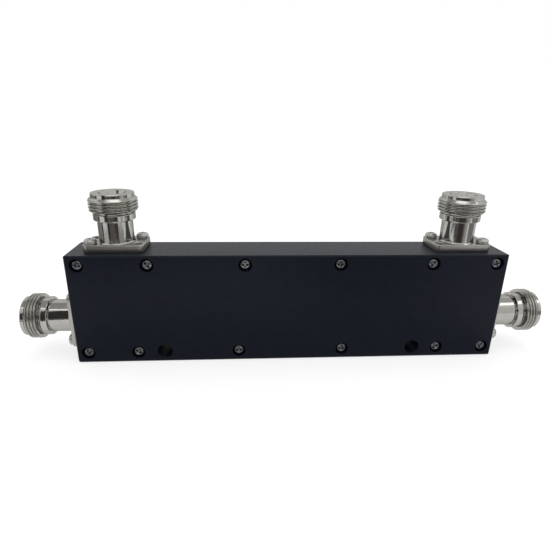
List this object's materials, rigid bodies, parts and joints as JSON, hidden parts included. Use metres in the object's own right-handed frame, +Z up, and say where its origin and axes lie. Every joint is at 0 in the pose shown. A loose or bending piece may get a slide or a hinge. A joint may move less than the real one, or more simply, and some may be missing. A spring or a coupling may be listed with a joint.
{
  "type": "directional coupler",
  "caption": "Black cavity-type directional coupler: a flat milled box with a screwed front cover and nickel-plated coaxial jacks on its end faces and top edge",
  "frame": {"origin": "middle of the box's footprint, on the surface that the long bottom edge stands on", "axes": "+X along the box towards the right end jack, +Y from the front cover to the back, +Z up towards the top jacks"},
  "size_m": [0.1868, 0.018, 0.058],
  "materials": {
    "black_paint": "satin black paint on aluminium",
    "nickel": "bright nickel plate on brass",
    "screw_steel": "plain bright steel",
    "seal_rubber": "matt black",
    "white_ptfe": "waxy white",
    "gold_contact": "gold plate on bronze",
    "silver_line": "silver plate on brass"
  },
  "bodies": {
    "root": {"housing": "black_paint", "cover": "black_paint", "cover_screws": "screw_steel", "flange_screws": "screw_steel", "shell_left": "nickel", "shell_right": "nickel", "shell_top_left": "nickel", "shell_top_right": "nickel", "gasket_left": "seal_rubber", "gasket_right": "seal_rubber", "gasket_top_left": "seal_rubber", "gasket_top_right": "seal_rubber", "insulator_left": "white_ptfe", "insulator_right": "white_ptfe", "insulator_top_left": "white_ptfe", "insulator_top_right": "white_ptfe", "contact_left": "gold_contact", "contact_right": "gold_contact", "contact_top_left": "gold_contact", "contact_top_right": "gold_contact", "main_line": "silver_line", "coupled_line": "silver_line", "line_support_left": "white_ptfe", "line_support_right": "white_ptfe"}
  },
  "joints": []
}
